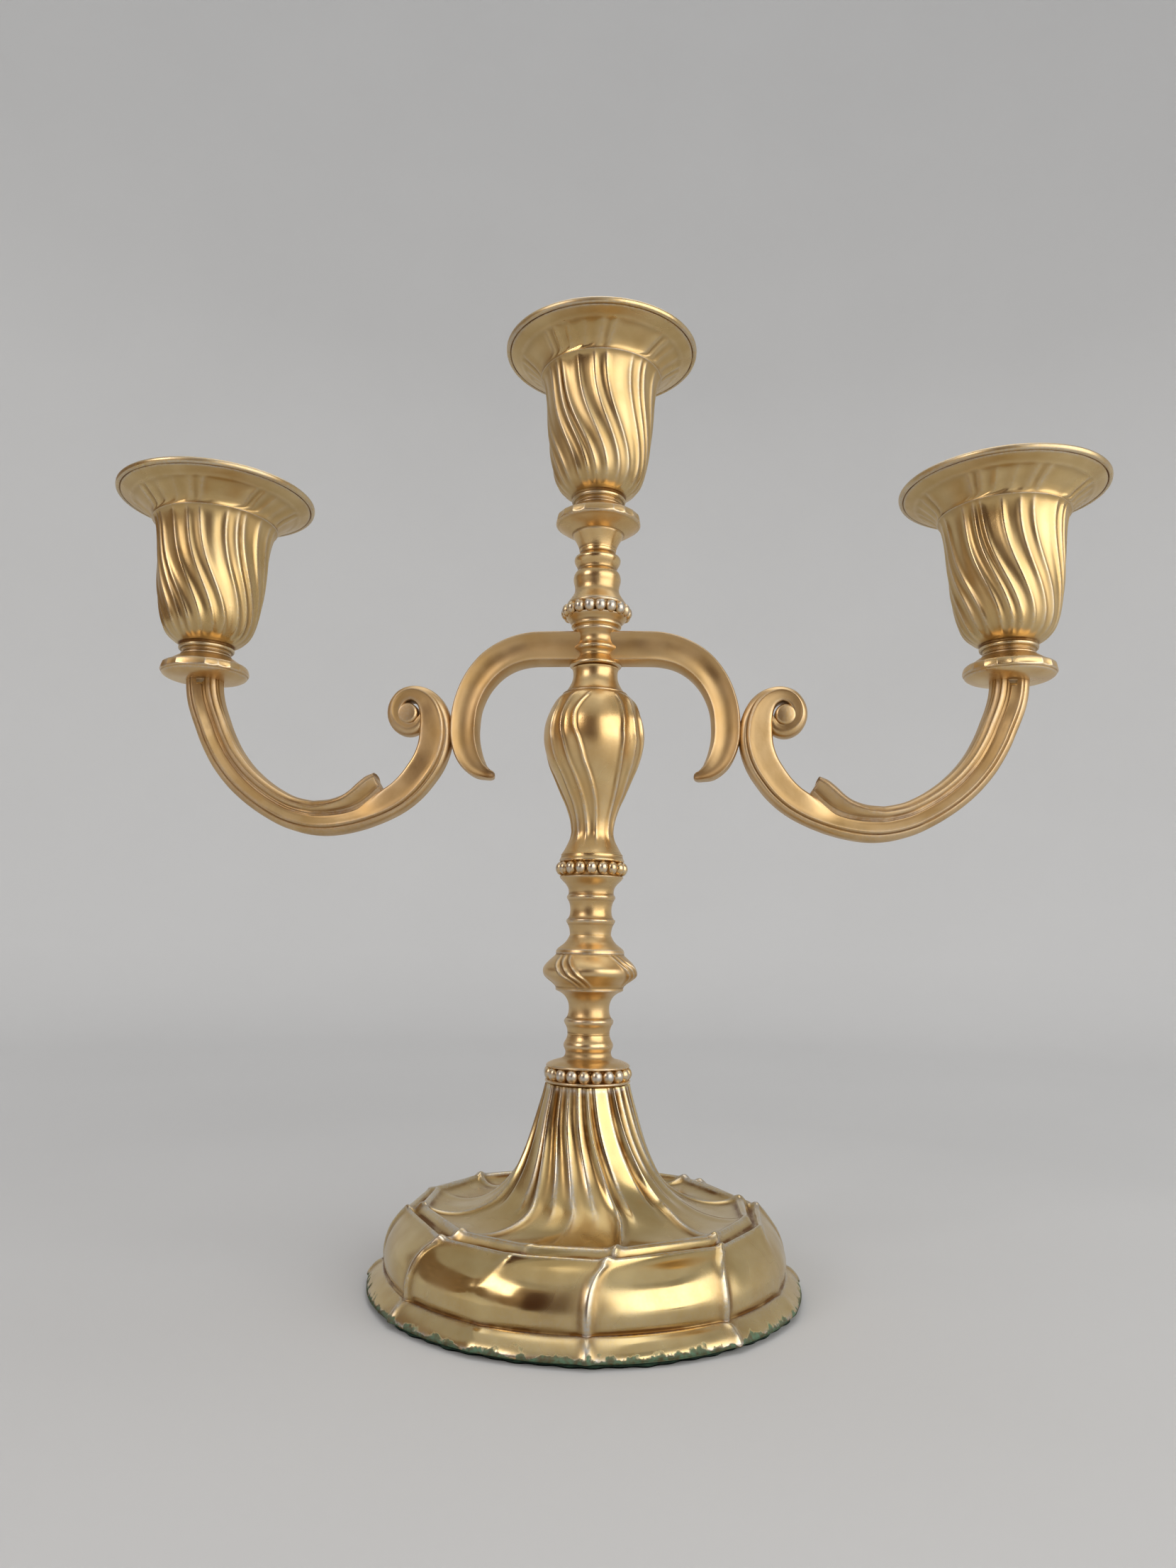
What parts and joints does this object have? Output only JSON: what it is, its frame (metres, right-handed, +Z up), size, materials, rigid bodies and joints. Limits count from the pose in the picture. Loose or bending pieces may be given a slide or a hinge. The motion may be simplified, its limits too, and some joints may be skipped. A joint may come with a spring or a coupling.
{
  "type": "tabletop candelabra",
  "caption": "Cast brass tabletop candelabra: lobed round foot, turned and gadrooned stem, scrolled arms and swirl-fluted cups with flared lips for taper candles.",
  "frame": {"origin": "centre of the foot, on the surface that the candelabra stands on", "axes": "+Z up along the stem, +X along the arms to the right-hand cup, -Y towards the viewer"},
  "size_m": [0.2732, 0.1084, 0.2505],
  "materials": {
    "polished_brass": "polished, worn silvery on the ridges, dark in the creases",
    "satin_brass": "satin, fine grain of the casting, worn bright on the edges",
    "cup_brass": "semi-gloss, darker in the flutes",
    "rod_steel": "plain turned steel",
    "ballast_iron": "rough casting",
    "baize": "short felt nap"
  },
  "bodies": {
    "stand": {"foot_shell": "polished_brass", "foot_weight": "ballast_iron", "base_plate": "rod_steel", "baize_pad": "baize", "tie_rod": "rod_steel", "rod_washer": "rod_steel", "rod_nut": "rod_steel", "lower_bead_collar": "satin_brass", "knop": "satin_brass", "middle_bead_collar": "satin_brass", "baluster": "satin_brass", "arm_hub": "satin_brass", "upper_stem": "satin_brass", "left_inner_scroll": "satin_brass", "right_inner_scroll": "satin_brass", "left_outer_scroll": "satin_brass", "right_outer_scroll": "satin_brass", "left_drip_disc": "satin_brass", "centre_drip_disc": "satin_brass", "right_drip_disc": "satin_brass", "left_stud": "rod_steel", "right_stud": "rod_steel"},
    "left_cup": {"left_candle_cup": "cup_brass"},
    "centre_cup": {"centre_candle_cup": "cup_brass"},
    "right_cup": {"right_candle_cup": "cup_brass"}
  },
  "joints": [
    {"name": "left_cup_turn", "type": "hinge", "parent": "stand", "child": "left_cup", "pos_m": [-0.1096, 0, 0.16264], "axis": [0, 0, 1], "range_deg": [0, 270]},
    {"name": "centre_cup_turn", "type": "hinge", "parent": "stand", "child": "centre_cup", "pos_m": [0, 0, 0.205], "axis": [0, 0, 1], "range_deg": [0, 270]},
    {"name": "right_cup_turn", "type": "hinge", "parent": "stand", "child": "right_cup", "pos_m": [0.1096, 0, 0.16264], "axis": [0, 0, 1], "range_deg": [0, 270]}
  ]
}
